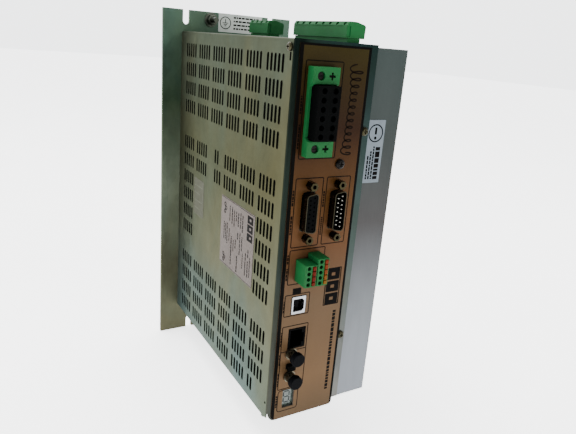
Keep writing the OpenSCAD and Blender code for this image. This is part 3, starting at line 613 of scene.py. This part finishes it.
# dark crosses in the two recesses of the upper header's flanges
FLANGE_REACH, RECESS_DEPTH = 5.6, 2.5
HEADER_Z, CROSS_X, CROSS_RISE = 87.1, -19.8, 20.3
ARM, HALF_BAR = 1.9, 0.55
RECESS = (Vector((0, Y_FRONT - FLANGE_REACH + RECESS_DEPTH, 0)), *FRONT[1:])
crosses = Print("header_crosses", RECESS, INK, height=1.9)
for side in (-1, 1):
    u, v = CROSS_X, HEADER_Z + CROSS_RISE * side
    crosses.bar(u - ARM, v - HALF_BAR, u + ARM, v + HALF_BAR)
    crosses.bar(u - HALF_BAR, v + HALF_BAR, u + HALF_BAR, v + ARM)
    crosses.bar(u - HALF_BAR, v - ARM, u + HALF_BAR, v - HALF_BAR)
crosses.done()

block = Print("fibre_block", FRONT, SLOTS["black_plastic"], height=3.6)
block.solid(round_rect(-30.4, -79.8, -24.8, -76.0, 0.5))
block.done()

# rating label on the side
rating = Print("rating_marks", facing_left("rating_label"), INK_GREY)
U0, U1 = -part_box("rating_label")[1].y / MM, -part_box("rating_label")[0].y / MM
V0, V1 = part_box("rating_label")[0].z / MM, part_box("rating_label")[1].z / MM
UW, VH = U1 - U0, V1 - V0
rating.bar(U0 + 0.6, V1 - 0.9, U1 - 0.6, V1 - 0.5)
rating.bar(U0 + 0.6, V0 + 0.5, U1 - 0.6, V0 + 0.9)
for i, (u, runs, w) in enumerate((
    (0.10, ((0.36, 0.62),), 1.2), (0.15, ((0.36, 0.62),), 1.2), (0.20, ((0.34, 0.66),), 1.2),
    (0.27, ((0.08, 0.3), (0.4, 0.6)), 1.0), (0.34, ((0.08, 0.32), (0.5, 0.92)), 1.4),
    (0.41, ((0.1, 0.34), (0.52, 0.7)), 1.0), (0.47, ((0.1, 0.24), (0.5, 0.64)), 1.2),
    (0.53, ((0.1, 0.3), (0.38, 0.48), (0.72, 0.96)), 1.4), (0.60, ((0.08, 0.3), (0.36, 0.68)), 1.2),
    (0.66, ((0.1, 0.34), (0.4, 0.6)), 1.2), (0.70, ((0.62, 0.84),), 1.0),
    (0.85, ((0.5, 0.62), (0.66, 0.9)), 1.2), (0.91, ((0.6, 0.88),), 1.0),
)):
    for a, b in runs:
        dashes(rating, U0 + UW * u, V1 - VH * b, V1 - VH * a, w * 1.15, 1.9, 0.4, seed=i + 2)
for a, b in ((0.07, 0.24), (0.82, 0.96)):
    for k in range(3):
        cv = V1 - VH * (a + (b - a) * (0.2 + 0.3 * k))
        cu = U0 + UW * 0.12 + (k % 2) * 1.6
        rating.ring(circle(cu, cv, 1.7, 16), circle(cu, cv, 0.8, 16))
rating.done()
rating_dark = Print("rating_marks_dark", facing_left("rating_label"), INK)
for i in range(3):
    v = V1 - VH * (0.045 + 0.12 * i)
    rating_dark.ring(
        round_rect(U1 - 10.6, v - VH * 0.105, U1 - 2.2, v, 0.4),
        round_rect(U1 - 7.6 + i * 0.3, v - VH * 0.068, U1 - 5.0 + i * 0.3, v - VH * 0.034, 0.3))
dashes(rating_dark, U1 - 11.6, V0 + VH * 0.1, V0 + VH * 0.42, 1.2, 5.0, 0.3, seed=6)
rating_dark.done()

# small pale sticker near the plate
film = Print("side_sticker", SIDE, PALE_FILM, height=0.12)
film.solid(round_rect(39.3, -15.0, 61.1, 14.8, 1.2))
film.done()
film_marks = Print("side_sticker_marks", (SIDE[0] - Vector((0.12, 0, 0)), *SIDE[1:]), FILM_INK)
for i in range(4):
    dashes(film_marks, 8.6 - i * 6.2, 42, 58 - (i % 2) * 5, 0.7, 1.8, 0.8, across=True, seed=i + 5)
film_marks.done()

# caution label on the front fin
caution = Print("fin_label_marks", facing_front("caution_label"), INK)
lo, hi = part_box("caution_label")
cu, top, bottom = (lo.x + hi.x) / 2 / MM, hi.z / MM, lo.z / MM
caution.ring(circle(cu, top - 8.2, 5.7, 36), circle(cu, top - 8.2, 4.9, 36))
caution.bar(cu - 0.8, top - 9.0, cu + 0.8, top - 4.6, 0.3)
caution.solid(circle(cu, top - 11.2, 1.0, 14))
dashes(caution, cu + 1.4, bottom + 2.2, bottom + 23, 3.6, 2.2, 0.6, seed=6)
for k, u in enumerate((-0.6, -2.6, -4.6)):
    dashes(caution, cu + u, bottom + 2.4, bottom + 23.5 - k * 3, 1.2, 1.5, 0.4, seed=k + 4)
caution.done()

# earth label on the plate
earth = Print("earth_marks", facing_front("earth_label"), INK)
lo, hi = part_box("earth_label")
ev = (lo.z + hi.z) / 2 / MM
eu = lo.x / MM + 6.2
earth.ring(circle(eu, ev, 5.0, 36), circle(eu, ev, 4.3, 36))
earth.bar(eu - 0.3, ev, eu + 0.3, ev + 3.2)
for i, half in enumerate((2.6, 1.7, 0.8)):
    earth.bar(eu - half, ev - 0.3 - i * 1.1, eu + half, ev + 0.25 - i * 1.1)
for i, (a, b) in enumerate(((13.5, 37), (13.5, 33), (13.5, 36), (13.5, 29))):
    dashes(earth, ev + 4.0 - i * 2.9, lo.x / MM + a, lo.x / MM + b, 1.3, 2.0, 0.6, across=True, seed=i + 3)
earth.done()

# segments of the display
lo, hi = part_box("segment_display")
segments = Print("display_segments", (Vector((0, lo.y / MM + 0.33, 0)), *FRONT[1:]), SEGMENT, height=0.05)
du, dv = (lo.x + hi.x) / 2 / MM - 0.4, (lo.z + hi.z) / 2 / MM
for v in (-4.2, 0, 4.2):
    segments.solid([(du - 1.9, dv + v), (du - 1.5, dv + v + 0.4), (du + 1.5, dv + v + 0.4),
                    (du + 1.9, dv + v), (du + 1.5, dv + v - 0.4), (du - 1.5, dv + v - 0.4)])
for u in (-2.1, 2.1):
    for v in (-2.1, 2.1):
        segments.solid([(du + u, dv + v - 1.8), (du + u + 0.4, dv + v - 1.4), (du + u + 0.4, dv + v + 1.4),
                        (du + u, dv + v + 1.8), (du + u - 0.4, dv + v + 1.4), (du + u - 0.4, dv + v - 1.4)])
segments.solid(circle(du + 3.3, dv - 4.2, 0.45, 14))
segments.done()

# ---------------------------------------------------------------- stage, light, camera

floor_tree = Tree("floor_paint")
floor_tree.colour(floor_tree.mix(
    (0.88, 0.88, 0.88, 1), (0.92, 0.92, 0.92, 1), floor_tree.fit(floor_tree.noise(6, 4), 0, 1)))
floor_tree.roughness(floor_tree.fit(floor_tree.noise(30, 4), 0.7, 0.8))
floor_tree.set(Emission_Color=(1, 1, 1, 1), Emission_Strength=2.4, Specular_IOR_Level=0.2)
bpy.ops.mesh.primitive_plane_add(size=12, location=(0, 0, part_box("mounting_plate")[0].z - 0.0002))
floor = bpy.context.active_object
floor.name = "floor"
floor.data.materials.append(floor_tree.mat)

world = bpy.data.worlds.new("studio")
bpy.context.scene.world = world
world.use_nodes = True
sky = world.node_tree
background = sky.nodes["Background"]
background.inputs["Strength"].default_value = 1.0
direction = sky.nodes.new("ShaderNodeTexCoord")
part_of = sky.nodes.new("ShaderNodeSeparateXYZ")
sky.links.new(direction.outputs["Generated"], part_of.inputs["Vector"])
depth = sky.nodes.new("ShaderNodeValToRGB")
depth.color_ramp.elements[0].position = 0.35
depth.color_ramp.elements[0].color = (0.42, 0.44, 0.46, 1)
depth.color_ramp.elements[1].position = 0.7
depth.color_ramp.elements[1].color = (3.6, 3.65, 3.7, 1)
shift = sky.nodes.new("ShaderNodeMapRange")
shift.inputs["From Min"].default_value = -1
sky.links.new(part_of.outputs["Y"], shift.inputs["Value"])
sky.links.new(shift.outputs["Result"], depth.inputs["Fac"])
sky.links.new(depth.outputs["Color"], background.inputs["Color"])


def area_light(name, place, target, size, energy, colour=(1, 1, 1)):
    data = bpy.data.lights.new(name, "AREA")
    data.shape = "RECTANGLE"
    data.size, data.size_y = size
    data.energy = energy
    data.color = colour
    ob = bpy.data.objects.new(name, data)
    bpy.context.scene.collection.objects.link(ob)
    ob.location = place
    ob.rotation_euler = (Vector(target) - Vector(place)).to_track_quat("-Z", "Y").to_euler()


area_light("key", (0.55, -1.5, 0.75), (0, -0.08, -0.05), (0.9, 0.9), 16, (1, 0.985, 0.95))
area_light("side", (-1.5, -0.35, 0.7), (0, -0.08, 0), (0.9, 0.9), 6, (1, 0.99, 0.95))
area_light("top", (-0.3, 0.1, 1.5), (0, -0.05, 0), (0.7, 0.7), 26)

# pitch, roll and heading in degrees, from a camera that looks straight down
CAMERA_TURN = (72.437, -4.401, -29.462)
camera_data = bpy.data.cameras.new("camera")
camera_data.sensor_width = 36
camera_data.lens = 34.26
camera_data.clip_start = 0.01
camera_data.dof.use_dof = False
camera = bpy.data.objects.new("camera", camera_data)
bpy.context.scene.collection.objects.link(camera)
camera.location = (-0.19585, -0.45054, 0.12285)
camera.rotation_euler = [math.radians(angle) for angle in CAMERA_TURN]
bpy.context.scene.camera = camera
